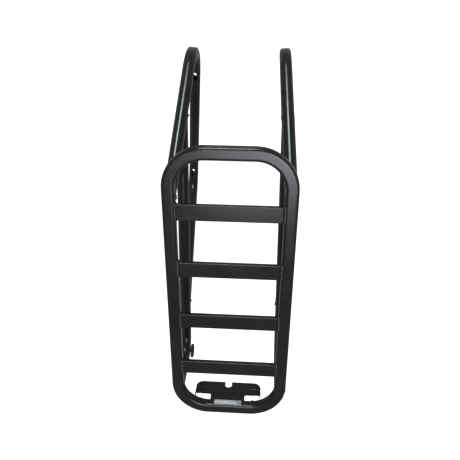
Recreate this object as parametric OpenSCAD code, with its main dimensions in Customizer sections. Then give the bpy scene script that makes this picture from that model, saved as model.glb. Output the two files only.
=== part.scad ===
// Welded bicycle luggage rack for a small-wheeled folding bicycle.
// Frame: X across the bicycle, +Y towards its front, +Z up. The origin is midway between the two
// rear mounting slots, which sit over the wheel axle. The right side (+X) is built, the left is its mirror.

/* [Deck] */
// Overall width of the deck loop
deck_width = 160.5; // [140:0.5:180]
// Overall length of the deck loop
deck_length = 399.5; // [380:0.5:420]
// Height of the deck's top face above the rear mounting slots
deck_height = 314; // [290:1:340]
// How far the deck's front edge lies ahead of the rear mounting slots
deck_front = 136; // [125:0.5:145]
// Width of the flattened deck tube
rail_width = 16; // [14:0.5:18]
// Height of the flattened deck tube
rail_depth = 13.5; // [12:0.5:16]
// Radius of the deck tube's long edges
rail_edge_r = 3.5; // [2:0.5:4]
// Radius of the deck loop's corners, on the tube's centreline
corner_r = 43; // [36:1:50]

/* [Crossbars] */
// Number of flat bars across the deck
bar_count = 4; // [4]
// Width of a flat bar
bar_width = 20.5; // [16:0.5:24]
// Thickness of a flat bar
bar_thickness = 6; // [4:0.5:8]
// How far the bars lie below the deck's top face
bar_drop = 1; // [0.5:0.5:2]
// Distance from the front rail's centreline to the first bar's
first_bar = 72.5; // [65:0.5:80]
// Distance from one bar's centreline to the next
bar_pitch = 78.5; // [74:0.5:80]

/* [Side tubes] */
// Outer diameter of the side tubes
tube_d = 16; // [14:0.5:18]
// Wall thickness of all tubes
tube_wall = 1.5; // [1:0.1:2]
// Slope of the lower leg, rising towards the front
leg_slope = 22.3; // [20:0.1:25]
// Where the front strut meets the deck rail, ahead of the rear slots
strut_y = 69; // [60:1:80]
// Corner point of the front bend, ahead of the rear slots
front_corner_y = 252.5; // [240:0.5:265]
// Half the distance between the two front bends' corner points
front_corner_x = 60.5; // [56:0.5:66]
// Radius of the front bend's centreline
front_bend_r = 57; // [50:1:60]
// How far the outer side of the front bend is flattened at its middle
front_bend_flat = 2; // [1:0.5:3]
// Corner point of the lower rear bend, ahead of the rear slots
rear_corner_y = -20; // [-24:0.5:-16]
// Half the distance between the two lower rear bends' corner points
rear_corner_x = 85; // [80:0.5:90]
// Radius of the lower rear bend's centreline
rear_bend_r = 44; // [36:1:46]
// Where the rear strut's line meets the pannier rail's centreline
rear_strut_y = -133; // [-145:1:-120]

/* [Pannier rails] */
// How far the pannier rail's centreline lies below the deck's top face
pannier_drop = 95.5; // [85:0.5:105]
// Half the distance between the pannier rails at the front struts
pannier_front_x = 67; // [65:0.5:69]
// Half the distance between the pannier rails at their rear bends
pannier_rear_x = 73.5; // [71:0.5:76]
// Corner point of the pannier rail's rear bend
pannier_rear_y = -224; // [-228:1:-218]
// Radius of the rear bend's centreline
pannier_bend_r = 28; // [24:1:34]

/* [Mounting slots] */
// Width of the slots through the legs
slot_width = 5.5; // [5:0.1:6.5]
// End-to-end length of the slots through the legs
slot_length = 13.5; // [10:0.5:16]
// Distance of the front slots ahead of the rear ones
front_slot_y = 174.5; // [158:0.5:176]

/* [Rear light bracket] */
// Offset of the bracket from the middle of the deck
bracket_x = -2.6; // [-3:0.1:3]
// Overall width across the bracket's two wings
wing_span = 97; // [84:0.5:100]
// Height of the wings
wing_height = 21; // [18:0.5:24]
// Width of the stem that joins the wings to the deck
stem_width = 50; // [40:1:60]
// Height of the gap between the wings and the deck tube
stem_height = 13; // [9:0.5:16]
// Thickness of the bracket plate
bracket_t = 5; // [4:0.5:6]
// Centre distance of the two light slots
light_pitch = 71; // [65:1:74]
// End-to-end length of a light slot
light_slot_length = 16; // [12:0.5:18]
// Height of a light slot
light_slot_height = 5.2; // [5:0.1:6]
// Width of the notch between the wings
notch_width = 10; // [8:0.5:12]
// Depth of the notch between the wings
notch_depth = 11; // [9:0.5:12]

/* [Label, cable hook and strap eye] */
// Width of the blank identification plate
label_width = 39; // [30:1:44]
// Height of the blank identification plate
label_height = 7; // [5:0.5:7.5]
// Thickness of the blank identification plate
label_t = 0.6; // [0.4:0.1:1]
// Offset of the blank identification plate from the middle of the deck
label_x = -1.5; // [-4:0.5:4]
// Wire diameter of the cable hook
hook_wire_d = 2; // [1.5:0.1:2.5]
// Distance of the cable hook from the middle of the deck
hook_x = 31; // [28:0.5:38]
// Rod diameter of the strap eye
eye_rod_d = 4; // [3:0.5:5]
// Centreline radius of the strap eye
eye_r = 9; // [7:0.5:11]

/* [Weld beads] */
// How far a weld bead stands out from the tubes that it joins
bead = 2.4; // [1.5:0.1:3]

/* [Hidden] */
$fn = 48;

tube_r = tube_d / 2;
bore_r = tube_r - tube_wall;
rail_x = (deck_width - rail_width) / 2;
rail_z = deck_height - rail_depth / 2;
rail_bottom = deck_height - rail_depth;
front_rail_y = deck_front - rail_width / 2;
rear_rail_y = front_rail_y - deck_length + rail_width;
bar_length = 2 * rail_x - rail_width;
bar_top = deck_height - bar_drop;
bar_edge_r = 0.8;
pannier_z = deck_height - pannier_drop;
rear_rail_face = rear_rail_y + rail_width / 2;
// The bracket's front face is flush with the rear rail's
bracket_y = rear_rail_face - bracket_t / 2;
satin_black = [0.10, 0.10, 0.105];
bead_black = [0.13, 0.13, 0.135];
label_silver = [0.72, 0.74, 0.75];

// Corner points of the side tubes' centrelines, right-hand side
strut_top = [rail_x, strut_y, rail_z];
front_corner = [front_corner_x, front_corner_y, front_corner_y * tan(leg_slope)];
rear_corner = [rear_corner_x, rear_corner_y, rear_corner_y * tan(leg_slope)];
pannier_slope = (pannier_rear_x - pannier_front_x) / (pannier_rear_y - strut_y);
function pannier_x(y) = pannier_rear_x + (y - pannier_rear_y) * pannier_slope;
rear_strut_top = [pannier_x(rear_strut_y), rear_strut_y, pannier_z];
strut_fall = (rail_z - pannier_z) / (rail_z - front_corner[2]);
pannier_front = strut_top + (front_corner - strut_top) * strut_fall;
pannier_corner = [pannier_rear_x, pannier_rear_y, pannier_z];
pannier_top = [rail_x, pannier_rear_y, rail_z];

function unit(v) = v / norm(v);
function square_to(v, axis) = unit(v - axis * (v * axis));
// Rigid placement whose columns are the images of X, Y and Z, and the new origin
function placed(ex, ey, ez, at) = [
    [ex[0], ey[0], ez[0], at[0]],
    [ex[1], ey[1], ez[1], at[1]],
    [ex[2], ey[2], ez[2], at[2]],
    [0, 0, 0, 1]
];
function setback(a, b, c, bend_r) = bend_r * tan(acos(unit(b - a) * unit(c - b)) / 2);

module both_sides() {
    children();
    mirror([1, 0, 0]) children();
}

// Round bar from point a to point b
module rod(a, b, r) {
    along = unit(b - a);
    across = square_to([1, 0, 0], along);
    multmatrix(placed(across, cross(along, across), along, a)) cylinder(h = norm(b - a), r = r);
}

// Round bend at corner b, between the straights from a and to c
module elbow(a, b, c, bend_r, r) {
    enter = unit(b - a);
    leave = unit(c - b);
    inward = square_to(leave, enter);
    start = b - enter * setback(a, b, c, bend_r);
    centre = start + inward * bend_r;
    multmatrix(placed(-inward, enter, cross(-inward, enter), centre))
        rotate_extrude(angle = acos(enter * leave), $fn = 144) translate([bend_r, 0]) circle(r, $fn = 48);
}

// Bend whose outer side is flattened by "flat" at its middle, fading out to both ends
flat_back = 12;
module flattened_elbow(a, b, c, bend_r, r, flat) {
    enter = unit(b - a);
    leave = unit(c - b);
    inward = square_to(leave, enter);
    angle = acos(enter * leave);
    centre = b - enter * setback(a, b, c, bend_r) + inward * bend_r;
    multmatrix(placed(-inward, enter, cross(-inward, enter), centre)) intersection() {
        rotate_extrude(angle = angle, $fn = 96) translate([bend_r, 0]) circle(r, $fn = 32);
        rotate([0, 0, angle / 2]) translate([-flat_back, 0, 0])
            cylinder(h = 2 * tube_d, r = bend_r + flat_back - flat + r, center = true, $fn = 72);
    }
}

// Faint ring that a bending tool leaves where a straight runs into a bend, at point "at"
ring_half = 1;
ring_step = 0.05;
ring_gap = 0.3;
module bend_ring(at, along, r) {
    rod(at - along * ring_half, at + along * ring_half, r + ring_step);
}

// Straight whose listed ends stop just inside the bend rings at those ends
module straight(a, b, r, gap_a, gap_b) {
    along = unit(b - a);
    rod(a + along * gap_a, b - along * gap_b, r);
    if (gap_a > 0) bend_ring(a, along, r);
    if (gap_b > 0) bend_ring(b, along, r);
}

// Bar with one bend, through a, corner b and c
module bent_rod(a, b, c, bend_r, r) {
    back = setback(a, b, c, bend_r);
    straight(a, b - unit(b - a) * back, r, 0, ring_gap);
    elbow(a, b, c, bend_r, r);
    straight(b + unit(c - b) * back, c, r, ring_gap, 0);
}

module rounded_rect(w, h, r) {
    square([w, h - 2 * r], center = true);
    square([w - 2 * r, h], center = true);
    for (x = [-1, 1], y = [-1, 1]) translate([x * (w / 2 - r), y * (h / 2 - r)]) circle(r);
}

// Closed loop around the deck, with the given section
module deck_path(w, h, r) {
    straight_x = rail_x - corner_r;
    for (side = [-1, 1]) {
        translate([side * rail_x, rear_rail_y + corner_r, rail_z]) rotate([-90, 0, 0])
            linear_extrude(front_rail_y - rear_rail_y - 2 * corner_r) rounded_rect(w, h, r);
        for (y = [front_rail_y, rear_rail_y]) translate([-straight_x, y, rail_z]) rotate([0, 90, 0])
            linear_extrude(2 * straight_x) rounded_rect(h, w, r);
        translate([side * straight_x, front_rail_y - corner_r, rail_z]) rotate([0, 0, side > 0 ? 0 : 90])
            rotate_extrude(angle = 90, $fn = 144) translate([corner_r, 0]) rounded_rect(w, h, r);
        translate([side * straight_x, rear_rail_y + corner_r, rail_z]) rotate([0, 0, side > 0 ? 270 : 180])
            rotate_extrude(angle = 90, $fn = 144) translate([corner_r, 0]) rounded_rect(w, h, r);
    }
}

// The deck's straight side rail on the right, as a solid bar
module side_rail_solid() {
    translate([rail_x, rear_rail_y + corner_r, rail_z]) rotate([-90, 0, 0])
        linear_extrude(front_rail_y - rear_rail_y - 2 * corner_r) rounded_rect(rail_width, rail_depth, rail_edge_r);
}

// Everything at or above the level of the deck tube's underside
module above_rail_bottom() {
    reach = 2 * deck_length;
    translate([-reach / 2, -reach / 2, rail_bottom]) cube(reach);
}

module deck_loop() {
    vent_d = 5;
    color(satin_black) difference() {
        deck_path(rail_width, rail_depth, rail_edge_r);
        deck_path(rail_width - 2 * tube_wall, rail_depth - 2 * tube_wall, rail_edge_r - tube_wall);
        // Vent holes into the struts, which let the loop breathe while it is welded
        both_sides() for (at = [strut_top, pannier_top])
            translate([at[0], at[1], rail_bottom - 1]) cylinder(h = 2 + tube_wall, d = vent_d);
    }
}

function bar_y(n) = front_rail_y - first_bar - (n - 1) * bar_pitch;

module flat_bar(n) {
    translate([-bar_length / 2, bar_y(n), bar_top - bar_thickness / 2]) rotate([90, 0, 90])
        linear_extrude(bar_length) rounded_rect(bar_width, bar_thickness, bar_edge_r);
}

module crossbar_1() { color(satin_black) flat_bar(1); }
module crossbar_2() { color(satin_black) flat_bar(2); }
module crossbar_3() { color(satin_black) flat_bar(3); }
module crossbar_4() { color(satin_black) flat_bar(4); }

// Fillet weld round the top and both edges of a bar's right-hand end
module bar_end_bead(n) {
    half_w = bar_width / 2;
    bead_bottom = bar_top - bar_thickness;
    difference() {
        translate([bar_length / 2, bar_y(n), 0]) {
            translate([0, half_w, bar_top]) rotate([90, 0, 0]) cylinder(h = bar_width, r = bead);
            for (side = [-1, 1]) translate([0, side * half_w, 0]) {
                translate([0, 0, bead_bottom]) cylinder(h = bar_thickness, r = bead);
                translate([0, 0, bar_top]) sphere(bead);
            }
        }
        side_rail_solid();
        flat_bar(n);
        // The top is dressed level with the deck's top face
        translate([rail_x - bar_width, bar_y(n) - bar_width, deck_height]) cube(2 * bar_width);
    }
}

module crossbar_welds() {
    color(bead_black) both_sides() for (n = [1:bar_count]) bar_end_bead(n);
}

// Centreline of the leg tube: deck, front bend, lower rear bend, pannier rail
module leg_path(r) {
    front_back = setback(strut_top, front_corner, rear_corner, front_bend_r);
    rear_back = setback(front_corner, rear_corner, rear_strut_top, rear_bend_r);
    leg = unit(rear_corner - front_corner);
    front_start = front_corner - unit(front_corner - strut_top) * front_back;
    rear_end = rear_corner + unit(rear_strut_top - rear_corner) * rear_back;
    straight(strut_top, front_start, r, 0, ring_gap);
    flattened_elbow(strut_top, front_corner, rear_corner, front_bend_r, r, front_bend_flat);
    straight(front_corner + leg * front_back, rear_corner - leg * rear_back, r, ring_gap, ring_gap);
    elbow(front_corner, rear_corner, rear_strut_top, rear_bend_r, r);
    straight(rear_end, rear_strut_top, r, ring_gap, 0);
}

// Slot cut through the leg, square to the tube, at distance y ahead of the rear slots
module leg_slot(y) {
    along = unit(front_corner - rear_corner);
    across = square_to([1, 0, 0], along);
    at = rear_corner + (front_corner - rear_corner) * (y - rear_corner_y) / (front_corner_y - rear_corner_y);
    straight = slot_length - slot_width;
    multmatrix(placed(across, along, cross(across, along), at)) {
        cube([slot_width, straight, 2 * tube_d], center = true);
        for (end = [-1, 1]) translate([0, end * straight / 2, 0])
            cylinder(h = 2 * tube_d, d = slot_width, center = true);
    }
}

module leg_tube() {
    difference() {
        leg_path(tube_r);
        leg_path(bore_r);
        above_rail_bottom();
        rod(pannier_front, pannier_corner, tube_r);
        leg_slot(0);
        leg_slot(front_slot_y);
    }
}

module leg_tube_right() { color(satin_black) leg_tube(); }
module leg_tube_left() { color(satin_black) mirror([1, 0, 0]) leg_tube(); }

module pannier_path(r) {
    bent_rod(pannier_front, pannier_corner, pannier_top, pannier_bend_r, r);
}

module pannier_rail() {
    difference() {
        pannier_path(tube_r);
        pannier_path(bore_r);
        above_rail_bottom();
        rod(strut_top, front_corner, tube_r);
    }
}

module pannier_rail_right() { color(satin_black) pannier_rail(); }
module pannier_rail_left() { color(satin_black) mirror([1, 0, 0]) pannier_rail(); }

// Ring of rod for a strap hook, welded to the inner side of the left pannier rail at its rear bend
bend_y = pannier_rear_y + pannier_bend_r;
bend_z = pannier_z + pannier_bend_r;
eye_turn = 38;
eye_reach = 39;
eye_y = bend_y - eye_reach * cos(eye_turn);
eye_z = bend_z - eye_reach * sin(eye_turn);
eye_centre = [-pannier_rear_x + tube_r + eye_rod_d / 2, eye_y, eye_z];

module eye_ring() {
    translate(eye_centre) rotate([0, 90, 0]) rotate_extrude() translate([eye_r, 0]) circle(d = eye_rod_d);
}

module strap_eye() { color(satin_black) eye_ring(); }

// Short beads on both sides of the eye's rod, along the line where it lies against the rail's bend
module strap_eye_welds() {
    bead_r = 1.5;
    bead_length = 6;
    bead_sink = 1.3;
    color(bead_black) difference() {
        translate([eye_centre[0] - bead_sink, bend_y, bend_z]) rotate([eye_turn - 90, 0, 0])
            for (side = [-1, 1]) translate([0, 0, eye_r - eye_reach - side * (eye_rod_d / 2 + bead_r / 2)])
                rotate([90, 0, 0]) cylinder(h = bead_length, r = bead_r, center = true);
        eye_ring();
        mirror([1, 0, 0]) elbow(pannier_front, pannier_corner, pannier_top, pannier_bend_r, tube_r);
    }
}

// Weld ahead of and behind a strut where it meets the underside of the deck tube, no wider than that tube
module underside_weld(below, top) {
    weld_height = 1.5 * bead;
    weld_reach = 2 * tube_d;
    difference() {
        intersection() {
            rod(below, top, tube_r + bead);
            translate([rail_x - rail_width / 2, top[1] - weld_reach, rail_bottom - weld_height])
                cube([rail_width, 2 * weld_reach, weld_height]);
        }
        rod(below, top, tube_r);
    }
}

module front_strut_welds() {
    color(bead_black) both_sides() underside_weld(front_corner, strut_top);
}

module pannier_rear_welds() {
    color(bead_black) both_sides() underside_weld(pannier_corner, pannier_top);
}

// Weld collar where one round tube's end is fitted round another tube
module saddle_collar(from, to, host_a, host_b) {
    difference() {
        intersection() {
            rod(from, to, tube_r + bead);
            rod(host_a, host_b, tube_r + bead);
        }
        rod(from, to, tube_r);
        rod(host_a, host_b, tube_r);
    }
}

module pannier_front_welds() {
    color(bead_black) both_sides()
        saddle_collar(pannier_front, pannier_corner, strut_top, front_corner);
}

module rear_strut_welds() {
    color(bead_black) both_sides()
        saddle_collar(rear_strut_top, rear_corner, pannier_front, pannier_corner);
}

// Outline of the light bracket, with its origin on the deck tube's underside
module bracket_outline() {
    wing_top = -stem_height;
    wing_bottom = wing_top - wing_height;
    low_r = wing_height / 2;
    high_r = 4;
    half = wing_span / 2;
    spur_w = 1.4;
    spur_h = 5;
    root_r = 3;
    difference() {
        union() {
            translate([-stem_width / 2, wing_top - 1]) square([stem_width, stem_height + 1]);
            translate([-half + low_r, wing_bottom]) square([wing_span - 2 * low_r, wing_height]);
            for (side = [-1, 1]) {
                translate([side * (half - low_r), wing_bottom + low_r]) circle(low_r);
                translate([side * (half - high_r), wing_top - high_r]) circle(high_r);
                translate([side * (half - low_r / 2 - high_r / 2) - low_r / 2, wing_bottom + low_r])
                    square([low_r, wing_height - low_r - high_r]);
                // Small upturned spur at the outer end of each wing
                translate([side * (half - spur_w / 2) - spur_w / 2, wing_top - high_r])
                    square([spur_w, high_r + spur_h]);
                // Inner fillet between stem and wing
                translate([side * (stem_width + root_r) / 2 - root_r / 2, wing_top]) difference() {
                    square(root_r);
                    translate([side > 0 ? root_r : 0, root_r]) circle(root_r);
                }
            }
        }
        translate([-notch_width / 2, wing_bottom - 1]) square([notch_width, notch_depth - notch_width / 2 + 1]);
        translate([0, wing_bottom + notch_depth - notch_width / 2]) circle(d = notch_width);
        for (side = [-1, 1]) translate([side * light_pitch / 2, wing_bottom + wing_height / 2]) {
            square([light_slot_length - light_slot_height, light_slot_height], center = true);
            for (end = [-1, 1]) translate([end * (light_slot_length - light_slot_height) / 2, 0])
                circle(d = light_slot_height);
        }
    }
}

module rear_light_bracket() {
    color(satin_black) translate([bracket_x, rear_rail_face, rail_bottom]) rotate([90, 0, 0])
        linear_extrude(bracket_t) bracket_outline();
}

// The deck's straight rear rail, as a solid bar
module rear_rail_solid() {
    half = rail_x - corner_r;
    translate([-half, rear_rail_y, rail_z]) rotate([0, 90, 0])
        linear_extrude(2 * half) rounded_rect(rail_depth, rail_width, rail_edge_r);
}

// Fillet welds behind the bracket's stem, and above it in the groove under the rail's rounded edge
module bracket_weld() {
    front_bead_r = 2;
    end_gap = 2;
    color(bead_black) difference() {
        translate([bracket_x - stem_width / 2 + end_gap, 0, rail_bottom]) rotate([0, 90, 0]) {
            translate([0, bracket_y - bracket_t / 2, 0]) cylinder(h = stem_width - 2 * end_gap, r = bead);
            translate([-front_bead_r / 2, rear_rail_face - front_bead_r / 2, 0])
                cylinder(h = stem_width - 2 * end_gap, r = front_bead_r);
        }
        rear_rail_solid();
        translate([bracket_x - stem_width / 2, rear_rail_face - bracket_t, rail_bottom - stem_height])
            cube([stem_width, bracket_t, stem_height]);
    }
}

module label_plate() {
    color(label_silver) translate([label_x, rear_rail_face, rail_z]) rotate([-90, 0, 0])
        linear_extrude(label_t) rounded_rect(label_width, label_height, 1);
}

// Small bent wire under the rear rail, which holds the light's cable
module cable_hook() {
    hook_bend_r = 3;
    shank = 3;
    tip_angle = 140;
    color(satin_black) translate([hook_x, rear_rail_y, rail_bottom]) {
        translate([0, 0, -shank]) cylinder(h = shank, d = hook_wire_d);
        translate([hook_bend_r, 0, -shank]) rotate([-90, 0, 0]) rotate([0, 0, 180])
            mirror([0, 1, 0]) rotate_extrude(angle = tip_angle) translate([hook_bend_r, 0]) circle(d = hook_wire_d);
    }
}

deck_loop();
crossbar_1();
crossbar_2();
crossbar_3();
crossbar_4();
leg_tube_left();
leg_tube_right();
pannier_rail_left();
pannier_rail_right();
strap_eye();
rear_light_bracket();
label_plate();
cable_hook();
crossbar_welds();
front_strut_welds();
pannier_front_welds();
rear_strut_welds();
pannier_rear_welds();
strap_eye_welds();
bracket_weld();
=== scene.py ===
"""Studio scene for a welded bicycle luggage rack in satin black powder coat."""
import math

import bpy
from mathutils import Matrix, Vector, noise


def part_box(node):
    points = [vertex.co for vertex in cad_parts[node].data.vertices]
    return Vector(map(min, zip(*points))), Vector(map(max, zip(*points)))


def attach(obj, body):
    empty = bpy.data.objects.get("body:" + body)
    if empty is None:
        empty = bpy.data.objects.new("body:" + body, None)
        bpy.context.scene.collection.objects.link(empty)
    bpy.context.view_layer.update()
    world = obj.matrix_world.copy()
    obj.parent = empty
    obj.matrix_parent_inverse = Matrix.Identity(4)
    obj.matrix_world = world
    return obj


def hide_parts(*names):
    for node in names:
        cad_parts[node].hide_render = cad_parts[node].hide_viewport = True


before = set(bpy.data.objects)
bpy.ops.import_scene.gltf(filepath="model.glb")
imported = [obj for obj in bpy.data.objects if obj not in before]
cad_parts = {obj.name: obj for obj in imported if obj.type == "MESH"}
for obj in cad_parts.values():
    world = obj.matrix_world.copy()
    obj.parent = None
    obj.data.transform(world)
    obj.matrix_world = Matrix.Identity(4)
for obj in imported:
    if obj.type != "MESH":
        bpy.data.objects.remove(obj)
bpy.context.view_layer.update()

MM = 0.001
LEFT, RIGHT = -1, 1

# ---------------------------------------------------------------- sizes of the CAD part, in metres
TUBE_R = 8 * MM
RAIL_HALF = 8 * MM
RAIL_EDGE_R = 3.5 * MM
deck_low, deck_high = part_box("deck_loop")
RAIL_X = deck_high.x - RAIL_HALF
RAIL_TOP = deck_high.z
RAIL_BOTTOM = deck_low.z
RAIL_MID = (RAIL_TOP + RAIL_BOTTOM) / 2
# Corner points of the right-hand tubes' centrelines
SLOPE = math.tan(math.radians(22.3))
STRUT_TOP = Vector((RAIL_X, 69 * MM, RAIL_MID))
FRONT_CORNER = Vector((60.5 * MM, 252.5 * MM, 252.5 * MM * SLOPE))
REAR_CORNER = Vector((85 * MM, -20 * MM, -20 * MM * SLOPE))
PANNIER_Z = RAIL_TOP - 95.5 * MM
PANNIER_BEND_R = 28 * MM
PANNIER_REAR_Y = -224 * MM
PANNIER_CORNER = Vector((73.5 * MM, PANNIER_REAR_Y, PANNIER_Z))
PANNIER_TOP = Vector((RAIL_X, PANNIER_REAR_Y, RAIL_MID))
STRUT_SHARE = (RAIL_MID - PANNIER_Z) / (RAIL_MID - FRONT_CORNER.z)
PANNIER_FRONT = STRUT_TOP + (FRONT_CORNER - STRUT_TOP) * STRUT_SHARE
# Half the distance between the pannier rails abreast of the front struts' tops
PANNIER_FRONT_X = 67 * MM
REAR_STRUT_Y = -133 * MM
REAR_STRUT_SHARE = (REAR_STRUT_Y - PANNIER_REAR_Y) / (STRUT_TOP.y - PANNIER_REAR_Y)
REAR_STRUT_X = PANNIER_CORNER.x + (PANNIER_FRONT_X - PANNIER_CORNER.x) * REAR_STRUT_SHARE
REAR_STRUT_TOP = Vector((REAR_STRUT_X, REAR_STRUT_Y, PANNIER_Z))
EYE_ROD_R = 2 * MM

# ---------------------------------------------------------------- camera
scene = bpy.context.scene
camera_data = bpy.data.cameras.new("camera")
camera = bpy.data.objects.new("camera", camera_data)
scene.collection.objects.link(camera)
scene.camera = camera
CAMERA_PLACE = (32.56 * MM, 300.76 * MM, 844.44 * MM)
PITCH, ROLL, TURN = math.radians(26.61), math.radians(-3.01), math.radians(-1.86)
# Moves the picture's centre by half of one of its 460 steps
HALF_STEP = 0.5 / 460
camera_data.sensor_width = 36
camera_data.lens = 39.13
camera_data.shift_x, camera_data.shift_y = -HALF_STEP, HALF_STEP
camera_data.clip_start = 0.05
camera_data.clip_end = 60
look = Matrix.Rotation(-PITCH, 4, "X") @ Matrix.Rotation(-ROLL, 4, "Y") @ Matrix.Rotation(-TURN, 4, "Z")
camera.matrix_world = Matrix.Translation(CAMERA_PLACE) @ look


# ---------------------------------------------------------------- material helpers
class Nodes:
    """Short names for building a material's node tree."""

    def __init__(self, name):
        self.material = bpy.data.materials.new(name)
        self.material.use_nodes = True
        self.tree = self.material.node_tree
        self.tree.nodes.clear()
        self.output = self.tree.nodes.new("ShaderNodeOutputMaterial")
        self.shader = self.tree.nodes.new("ShaderNodeBsdfPrincipled")
        self.link(self.shader.outputs["BSDF"], self.output.inputs["Surface"])
        self.place = self.tree.nodes.new("ShaderNodeTexCoord").outputs["Object"]

    def link(self, a, b):
        """Joins output a to input b."""
        self.tree.links.new(a, b)

    def put(self, node, socket, value):
        """Links value to a node's socket if it is another node's output, or sets it there as a constant."""
        if hasattr(value, "is_linked"):
            self.link(value, node.inputs[socket])
        else:
            node.inputs[socket].default_value = value

    def noise(self, scale, detail=2.0, rough=0.5, stretch=None):
        """Cloudy noise from 0 to 1 in the object's own space, which stretch scales along each axis."""
        where = self.place
        if stretch:
            mapping = self.tree.nodes.new("ShaderNodeMapping")
            self.link(where, mapping.inputs["Vector"])
            mapping.inputs["Scale"].default_value = stretch
            where = mapping.outputs["Vector"]
        n = self.tree.nodes.new("ShaderNodeTexNoise")
        self.link(where, n.inputs["Vector"])
        for socket, value in (("Scale", scale), ("Detail", detail), ("Roughness", rough)):
            n.inputs[socket].default_value = value
        return n.outputs["Fac"]

    def ramp(self, value, low, high, out_low=0.0, out_high=1.0):
        """Maps low..high to out_low..out_high, and clamps it there."""
        n = self.tree.nodes.new("ShaderNodeMapRange")
        n.clamp = True
        self.put(n, "Value", value)
        limits = {"From Min": low, "From Max": high, "To Min": out_low, "To Max": out_high}
        for socket, number in limits.items():
            self.put(n, socket, number)
        return n.outputs["Result"]

    def math(self, operation, a, b):
        """The result of an operation such as MULTIPLY or ADD."""
        n = self.tree.nodes.new("ShaderNodeMath")
        n.operation = operation
        self.put(n, 0, a)
        self.put(n, 1, b)
        return n.outputs["Value"]

    def mix(self, fac, a, b):
        """A mix of the colours a and b, which is all b where fac is 1."""
        n = self.tree.nodes.new("ShaderNodeMix")
        n.data_type = "RGBA"
        # By number, as the node has sockets of the same name for plain values
        self.put(n, 0, fac)
        self.put(n, 6, a)
        self.put(n, 7, b)
        return n.outputs[2]

    def bump(self, height, strength, distance, normal):
        """The normal given, tilted by the slope of height."""
        n = self.tree.nodes.new("ShaderNodeBump")
        n.inputs["Strength"].default_value = strength
        n.inputs["Distance"].default_value = distance
        self.link(height, n.inputs["Height"])
        self.link(normal, n.inputs["Normal"])
        return n.outputs["Normal"]

    def rounded_normal(self, radius):
        """A normal that turns smoothly over an edge, as if it were rounded off."""
        n = self.tree.nodes.new("ShaderNodeBevel")
        n.samples = 6
        n.inputs["Radius"].default_value = radius
        return n.outputs["Normal"]

    def edge_mask(self, radius):
        """1 on sharp edges, 0 on open faces."""
        geometry = self.tree.nodes.new("ShaderNodeNewGeometry")
        dot = self.tree.nodes.new("ShaderNodeVectorMath")
        dot.operation = "DOT_PRODUCT"
        self.link(self.rounded_normal(radius), dot.inputs[0])
        self.link(geometry.outputs["Normal"], dot.inputs[1])
        return self.ramp(dot.outputs["Value"], 0.995, 0.86)

    def upward(self):
        """1 on faces that look up, where dust settles and where the painted lighter top goes."""
        geometry = self.tree.nodes.new("ShaderNodeNewGeometry")
        split = self.tree.nodes.new("ShaderNodeSeparateXYZ")
        self.link(geometry.outputs["Normal"], split.inputs[0])
        return self.ramp(split.outputs["Z"], 0.5, 1.0)


# Dust grey, which also stands in for a painted lighter top where the overhead light falls
DUST_AND_TOP_LIGHT_GREY = (0.034, 0.031, 0.034, 1)
SPECK_GREY = (0.06, 0.06, 0.064, 1)
# Rubbed grey, which also stands in for a painted highlight along the edges
RUBBED_AND_HIGHLIGHT_GREY = (0.050, 0.052, 0.055, 1)


def powder_coat(name, base, lift, roughness, peel, edge_round=0.5 * MM):
    """Satin black powder coat: orange peel, fine grit, soft mottling, a thin film of dust that also paints
    the tops lighter as if lit from above, rubbed edges that also paint a highlight along the edges.
    """
    m = Nodes(name)
    cloud = m.noise(14, 4, 0.55)
    grit = m.noise(2600, 2, 0.6)
    peel_height = m.noise(420, 2, 0.5)
    speck = m.ramp(m.noise(1500, 1, 0.4), 0.70, 0.76)
    edge = m.edge_mask(0.7 * MM)
    # Worn edges, also a painted highlight along every edge
    rub_and_highlight = m.math("MULTIPLY", edge, m.ramp(m.noise(160, 3, 0.6), 0.42, 0.66))
    # Dust on faces that look up, also a painted lighter top as if lit from above
    dust_and_top_light = m.math("MULTIPLY", m.upward(), m.ramp(m.noise(38, 5, 0.6), 0.35, 0.75))
    colour = m.mix(m.ramp(cloud, 0.3, 0.7), base, lift)
    colour = m.mix(m.math("MULTIPLY", dust_and_top_light, 0.12), colour, DUST_AND_TOP_LIGHT_GREY)
    colour = m.mix(m.math("MULTIPLY", speck, 0.22), colour, SPECK_GREY)
    colour = m.mix(m.math("MULTIPLY", rub_and_highlight, 0.35), colour, RUBBED_AND_HIGHLIGHT_GREY)
    m.link(colour, m.shader.inputs["Base Color"])
    rough = m.ramp(cloud, 0.25, 0.75, roughness - 0.025, roughness + 0.03)
    rough = m.math("ADD", rough, m.math("MULTIPLY", dust_and_top_light, 0.05))
    rough = m.math("ADD", rough, m.ramp(grit, 0.35, 0.65, -0.02, 0.02))
    m.link(rough, m.shader.inputs["Roughness"])
    normal = m.rounded_normal(edge_round)
    normal = m.bump(peel_height, peel, 0.06 * MM, normal)
    normal = m.bump(grit, 0.15, 0.02 * MM, normal)
    m.link(normal, m.shader.inputs["Normal"])
    m.shader.inputs["IOR"].default_value = 1.5
    return m.material


SILVER_DARK, SILVER_LIGHT = (0.60, 0.64, 0.65, 1), (0.92, 0.95, 0.96, 1)
TARNISH = (0.14, 0.15, 0.16, 1)
SILVER_EDGE = (0.80, 0.82, 0.83, 1)


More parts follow.
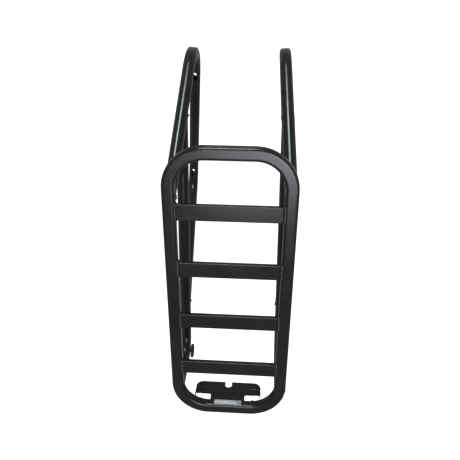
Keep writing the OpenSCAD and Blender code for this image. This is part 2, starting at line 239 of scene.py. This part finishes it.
def brushed_plate(name):
    """Thin satin aluminium plate, brushed along its length and slightly tarnished."""
    m = Nodes(name)
    streak = m.noise(900, 4, 0.65, stretch=(0.03, 1, 1))
    patch = m.noise(140, 3, 0.6, stretch=(0.6, 1, 1.6))
    edge = m.edge_mask(0.4 * MM)
    colour = m.mix(m.ramp(streak, 0.3, 0.7), SILVER_DARK, SILVER_LIGHT)
    colour = m.mix(m.ramp(patch, 0.45, 0.68, 0.0, 0.75), colour, TARNISH)
    colour = m.mix(edge, colour, SILVER_EDGE)
    m.link(colour, m.shader.inputs["Base Color"])
    m.link(m.ramp(streak, 0.2, 0.8, 0.32, 0.5), m.shader.inputs["Roughness"])
    m.link(m.bump(streak, 0.35, 0.03 * MM, m.rounded_normal(0.25 * MM)), m.shader.inputs["Normal"])
    m.shader.inputs["Metallic"].default_value = 0.55
    return m.material


TUBE_DARK, TUBE_LIGHT = (0.0030, 0.0029, 0.0031, 1), (0.0050, 0.0047, 0.0050, 1)
BAR_DARK, BAR_LIGHT = (0.0034, 0.0031, 0.0032, 1), (0.0056, 0.0052, 0.0053, 1)
PLATE_DARK, PLATE_LIGHT = (0.0026, 0.0026, 0.0028, 1), (0.0042, 0.0041, 0.0042, 1)
# The welds' coat is painted lighter than the tubes', a painted highlight on the beads
WELD_HIGHLIT_DARK, WELD_HIGHLIT_LIGHT = (0.0060, 0.0056, 0.0060, 1), (0.0100, 0.0092, 0.0098, 1)
tube_black = powder_coat("tube_powder_coat", TUBE_DARK, TUBE_LIGHT, roughness=0.22, peel=0.035)
deck_black = powder_coat("deck_powder_coat", TUBE_DARK, TUBE_LIGHT, roughness=0.21, peel=0.04,
                         edge_round=2.5 * MM)
bar_black = powder_coat("bar_powder_coat", BAR_DARK, BAR_LIGHT, roughness=0.21, peel=0.08)
plate_black = powder_coat("plate_powder_coat", PLATE_DARK, PLATE_LIGHT, roughness=0.27, peel=0.10)
weld_black_highlit = powder_coat("weld_powder_coat_painted_highlight", WELD_HIGHLIT_DARK, WELD_HIGHLIT_LIGHT, roughness=0.24, peel=0.18)
label_silver = brushed_plate("label_brushed_silver")

LOOKS = {"deck_loop": deck_black, "label_plate": label_silver, "rear_light_bracket": plate_black}
for node_name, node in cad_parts.items():
    look_for = LOOKS.get(node_name, bar_black if node_name.startswith("crossbar_") else tube_black)
    node.data.materials.clear()
    node.data.materials.append(look_for)


# ---------------------------------------------------------------- weld beads
# Distance from one ripple of a bead to the next
RIPPLE = 1.7 * MM
# How far along its bead a ripple leans from crown to side, and its height as a share of the bead's radius
RIPPLE_LEAN = 0.75 * MM
RIPPLE_HEIGHT = 0.16
# Slow unevenness along a bead: its share of the radius, its rate per metre, and what sets two beads apart
UNEVEN, UNEVEN_RATE, UNEVEN_GAP = 0.05, 260, 7.3
# Distance between a bead's cross-sections, points round each, and points in a tube's ring of weld
STEP = RIPPLE / 6
AROUND = 16
RING_POINTS = 96


def resample(points, crowns, closed):
    """Points every STEP along a path, with the crown directions carried along."""
    if closed:
        points, crowns = points + points[:1], crowns + crowns[:1]
    run = [0.0]
    for a, b in zip(points, points[1:]):
        run.append(run[-1] + (b - a).length)
    count = max(8, round(run[-1] / STEP))
    out, k = [], 0
    for i in range(count if closed else count + 1):
        s = run[-1] * i / count
        while k < len(run) - 2 and run[k + 1] < s:
            k += 1
        t = (s - run[k]) / max(run[k + 1] - run[k], 1e-9)
        out.append((points[k].lerp(points[k + 1], t), crowns[k].lerp(crowns[k + 1], t).normalized(), s))
    return out, run[-1]


def bead_mesh(name, paths, node_name):
    """One piece of rippled weld beads. Each path is (points, crowns, radius function of 0..1, closed)."""
    verts, faces = [], []
    for number, (points, crowns, radius, closed) in enumerate(paths):
        rows, length = resample(points, crowns, closed)
        count = len(rows)
        first = len(verts)
        for i, (point, crown, s) in enumerate(rows):
            after = rows[(i + 1) % count][0] if closed or i + 1 < count else point
            before = rows[i - 1][0] if closed or i > 0 else point
            along = (after - before).normalized()
            up = (crown - along * crown.dot(along)).normalized()
            side = along.cross(up)
            base_r = radius(s / length)
            for j in range(AROUND):
                a = 2 * math.pi * j / AROUND
                phase = (s + RIPPLE_LEAN * math.cos(a)) / RIPPLE
                u = phase - math.floor(phase)
                scale = 1 + RIPPLE_HEIGHT * (1 - (2 * u - 1) ** 2) - RIPPLE_HEIGHT / 2
                sample = Vector((s * UNEVEN_RATE + number * UNEVEN_GAP, math.cos(a), math.sin(a)))
                scale += UNEVEN * noise.noise(sample)
                r = base_r * scale
                verts.append(point + up * (r * math.cos(a)) + side * (r * math.sin(a)))
        last = count if closed else count - 1
        for i in range(last):
            here, there = first + i * AROUND, first + ((i + 1) % count) * AROUND
            for j in range(AROUND):
                k = (j + 1) % AROUND
                faces.append((here + j, here + k, there + k, there + j))
        if not closed:
            for row, flip in ((0, False), (count - 1, True)):
                ring = [first + row * AROUND + j for j in range(AROUND)]
                faces.append(tuple(ring if flip else reversed(ring)))
    mesh = bpy.data.meshes.new(name)
    mesh.from_pydata([tuple(v) for v in verts], [], faces)
    mesh.update()
    mesh.shade_smooth()
    piece = bpy.data.objects.new(name, mesh)
    scene.collection.objects.link(piece)
    # A coat painted lighter than the tubes', standing in for highlights on the beads
    mesh.materials.append(weld_black_highlit)
    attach(piece, "root")
    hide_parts(node_name)


def mirrored(points):
    """The same points on the other side of the rack."""
    return [Vector((-p.x, p.y, p.z)) for p in points]


def taper(u, end=0.06):
    """Rounds off an open bead over this share of its length at each end."""
    edge = min(u, 1 - u) / end
    return 1.0 if edge >= 1 else math.sqrt(max(0.02, 1 - (1 - edge) ** 2))


def bar_paths():
    """Each bead climbs a bar's front edge, crosses its top against the rail, and goes down the rear edge."""
    sink = 1.5 * MM
    into_rail = 0.8 * MM
    inset = 0.2 * MM
    foot = 0.4 * MM
    corner = 2.4 * MM
    near_corner = 0.3 * corner
    # A bead is fuller where it turns the bar's corners, these shares along it, and less so at the rear
    body_mm, fuller_mm = 2.9, 0.6
    front_turn, rear_turn, spread = 0.17, 0.83, 0.05
    rear_share = 0.7
    # Its size wanders along it, and differs from bead to bead
    wander_share, wander_rate, wander_gap = 0.10, 6, 3.1
    paths = []
    for n in range(1, 5):
        low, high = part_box(f"crossbar_{n}")
        for side in (LEFT, RIGHT):
            x = side * (high.x + into_rail)
            top = high.z - sink
            front, rear = high.y - inset, low.y + inset
            points, crowns = [], []
            for p, c in (
                ((x, front, low.z + foot), (-side, 1, 0)),
                ((x, front, top - corner), (-side, 1, 0.2)),
                ((x, front - near_corner, top - near_corner), (-side, 1, 1)),
                ((x, front - corner, top), (-side, 0.2, 1)),
                ((x, rear + corner, top), (-side, -0.2, 1)),
                ((x, rear + near_corner, top - near_corner), (-side, -1, 1)),
                ((x, rear, top - corner), (-side, -1, 0.2)),
                ((x, rear, low.z + foot), (-side, -1, 0)),
            ):
                points.append(Vector(p))
                crowns.append(Vector(c).normalized())
            seed = n * 2 + (side == RIGHT)

            def radius(u, seed=seed):
                turns = math.exp(-((u - front_turn) / spread) ** 2)
                turns += rear_share * math.exp(-((u - rear_turn) / spread) ** 2)
                wander = wander_share * noise.noise(Vector((u * wander_rate, seed * wander_gap, 0.5)))
                return (body_mm + fuller_mm * turns) * MM * (1 + wander) * taper(u)

            paths.append((points, crowns, radius, False))
    return paths


def across_axis(axis):
    """The axis as a unit vector, and two more square to it."""
    axis = axis.normalized()
    first = Vector((1, 0, 0))
    first = (first - axis * first.dot(axis)).normalized()
    return axis, first, axis.cross(first)


def underside_ring(start, end, dressed_mm=0.75, swell_mm=1.35):
    """Where a round tube meets the deck tube's underside, whose long edges are rounded."""
    axis, e1, e2 = across_axis(end - start)
    points, crowns = [], []
    for i in range(RING_POINTS):
        a = 2 * math.pi * i / RING_POINTS
        offset = e1 * (TUBE_R * math.cos(a)) + e2 * (TUBE_R * math.sin(a))
        # How far the rail's rounded edge curves up here, settled in three rounds
        lift = 0.0
        for _ in range(3):
            run = (RAIL_BOTTOM + lift - start.z - offset.z) / axis.z
            point = start + offset + axis * run
            out = min(max(abs(point.x - start.x) - (RAIL_HALF - RAIL_EDGE_R), 0), RAIL_EDGE_R * 0.96)
            lift = RAIL_EDGE_R - math.sqrt(RAIL_EDGE_R ** 2 - out ** 2)
        points.append(point)
        crowns.append((offset.normalized() + Vector((0, 0, -1))).normalized())

    def radius(u):
        """Fuller before and behind the tube than at its two sides."""
        return (dressed_mm + swell_mm * abs(math.sin(2 * math.pi * u)) ** 1.5) * MM

    return points, crowns, radius, True


def saddle_ring(start, end, host_a, host_b, full_mm=2.0, dressed_mm=0.3):
    """Where a round tube's end is fitted against the side of another round tube."""
    axis, e1, e2 = across_axis(end - start)
    host = (host_b - host_a).normalized()
    points, crowns = [], []
    for i in range(RING_POINTS):
        a = 2 * math.pi * i / RING_POINTS
        offset = e1 * (TUBE_R * math.cos(a)) + e2 * (TUBE_R * math.sin(a))
        # Along this line of the tube's wall, the place where it comes out of the host tube's wall
        base = start + offset - host_a
        flat = base - host * base.dot(host)
        along = axis - host * axis.dot(host)
        qa, qb, qc = along.dot(along), 2 * flat.dot(along), flat.dot(flat) - TUBE_R ** 2
        run = (-qb + math.sqrt(max(qb * qb - 4 * qa * qc, 0))) / (2 * qa)
        point = start + offset + axis * run
        points.append(point)
        normal = point - host_a
        normal = (normal - host * normal.dot(host)).normalized()
        crowns.append((offset.normalized() + normal + axis * 0.3).normalized())

    def radius(u):
        """Full above and below the tube, dressed down at its two sides."""
        return (dressed_mm + (full_mm - dressed_mm) * abs(math.sin(2 * math.pi * u)) ** 1.3) * MM

    return points, crowns, radius, True


def both_sides(path):
    """The right-hand path, and its mirror image on the left."""
    points, crowns, radius, closed = path
    return [path, (mirrored(points), mirrored(crowns), radius, closed)]


front_strut_ring = underside_ring(STRUT_TOP, FRONT_CORNER)
pannier_rear_ring = underside_ring(PANNIER_TOP, PANNIER_CORNER)
pannier_front_ring = saddle_ring(PANNIER_FRONT, PANNIER_CORNER, STRUT_TOP, FRONT_CORNER)
rear_strut_ring = saddle_ring(REAR_STRUT_TOP, REAR_CORNER, PANNIER_FRONT, PANNIER_CORNER)
bead_mesh("crossbar_weld_beads", bar_paths(), "crossbar_welds")
bead_mesh("front_strut_weld_beads", both_sides(front_strut_ring), "front_strut_welds")
bead_mesh("pannier_rear_weld_beads", both_sides(pannier_rear_ring), "pannier_rear_welds")
bead_mesh("pannier_front_weld_beads", both_sides(pannier_front_ring), "pannier_front_welds")
bead_mesh("rear_strut_weld_beads", both_sides(rear_strut_ring), "rear_strut_welds")


def bracket_paths():
    """One bead behind the stem, one in the groove between its top and the rail's rounded edge."""
    low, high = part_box("bracket_weld")
    plate_low, plate_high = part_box("rear_light_bracket")
    rear_r, groove_r = 2.1 * MM, 1.7 * MM
    groove_depth, groove_height = 1.1 * MM, 0.9 * MM
    rear = Vector((0, plate_low.y, RAIL_BOTTOM))
    groove = Vector((0, plate_high.y - groove_depth, RAIL_BOTTOM + groove_height))
    paths = []
    for start, crown, bead_r in ((rear, (0, -1, -1), rear_r), (groove, (0, 1, 0.2), groove_r)):
        points = [start + Vector((x, 0, 0)) for x in (low.x, high.x)]
        crown = Vector(crown).normalized()
        paths.append((points, [crown, crown], lambda u, bead_r=bead_r: bead_r * taper(u, 0.04), False))
    return paths


def eye_paths():
    """Beads on both sides of the strap eye's rod, along the bend of the left pannier rail."""
    bead_r = 1.4 * MM
    bead_half = 2.8 * MM
    beside_rod = 2.7 * MM
    from_face = 1.5 * MM
    weld_low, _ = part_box("strap_eye_welds")
    eye_low, eye_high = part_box("strap_eye")
    eye = (eye_low + eye_high) / 2
    bend = Vector((eye.x, PANNIER_REAR_Y + PANNIER_BEND_R, PANNIER_Z + PANNIER_BEND_R))
    outward = (eye - bend).normalized()
    along = Vector((1, 0, 0)).cross(outward)
    eye_r = (eye_high.z - eye_low.z) / 2 - EYE_ROD_R
    touch = eye - outward * eye_r
    touch.x = weld_low.x + from_face
    crown = Vector((1, 0, 0))
    paths = []
    for side in (-1, 1):
        centre = touch + outward * (side * beside_rod)
        points = [centre + along * (step * bead_half) for step in (-1, 0, 1)]
        paths.append((points, [crown] * 3, lambda u: bead_r * taper(u, 0.2), False))
    return paths


bead_mesh("bracket_weld_beads", bracket_paths(), "bracket_weld")
bead_mesh("strap_eye_weld_beads", eye_paths(), "strap_eye_welds")

# ---------------------------------------------------------------- floor and light
FLOOR_Z = -0.25
FLOOR_GREY = (0.86, 0.86, 0.86, 1)
FLOOR_GLOW = 0.74
SURROUND = 0.32
WHITE = (1, 1, 1, 1)


def plain_floor():
    """A wide pale floor with a glow of its own, which the black coat doesn't mirror."""
    mesh = bpy.data.meshes.new("floor")
    far = 14
    corners = [(x * far, y * far, FLOOR_Z) for x, y in ((-1, -1), (1, -1), (1, 1), (-1, 1))]
    mesh.from_pydata(corners, [], [(0, 1, 2, 3)])
    floor = bpy.data.objects.new("floor", mesh)
    scene.collection.objects.link(floor)
    floor.visible_glossy = False
    m = Nodes("floor_pale")
    m.shader.inputs["Base Color"].default_value = FLOOR_GREY
    m.shader.inputs["Roughness"].default_value = 0.9
    m.shader.inputs["Emission Color"].default_value = WHITE
    m.shader.inputs["Emission Strength"].default_value = FLOOR_GLOW
    mesh.materials.append(m.material)


def area_light(name, place, aim, size_x, size_y, radiance, colour):
    """A soft box of the radiance given, turned to face aim."""
    data = bpy.data.lights.new(name, "AREA")
    data.shape = "RECTANGLE"
    data.size, data.size_y = size_x, size_y
    data.energy = radiance * size_x * size_y * math.pi
    data.color = colour
    light = bpy.data.objects.new(name, data)
    scene.collection.objects.link(light)
    light.location = place
    light.rotation_euler = (Vector(aim) - Vector(place)).to_track_quat("-Z", "Y").to_euler()


plain_floor()
# Each light's place and aim in metres, its width and depth, its radiance and its colour
area_light("overhead_box", (0.38, -0.02, 2.2), (0.37, 0.0, 0.3), 1.5, 0.94, 4.8, (0.965, 0.92, 1.0))
area_light("overhead_right", (0.37, -0.38, 2.15), (0.37, -0.37, 0.3), 0.36, 0.36, 7.5, (0.965, 0.93, 1.0))
area_light("front_strip", (-0.22, 2.6, 0.78), (0.0, 0.0, 0.3), 0.70, 0.76, 20.0, (0.86, 0.97, 1.0))

world = bpy.data.worlds.new("soft_surround")
scene.world = world
world.use_nodes = True
background = world.node_tree.nodes["Background"]
background.inputs["Color"].default_value = WHITE
background.inputs["Strength"].default_value = SURROUND

scene.view_settings.view_transform = "Standard"
scene.view_settings.look = "None"
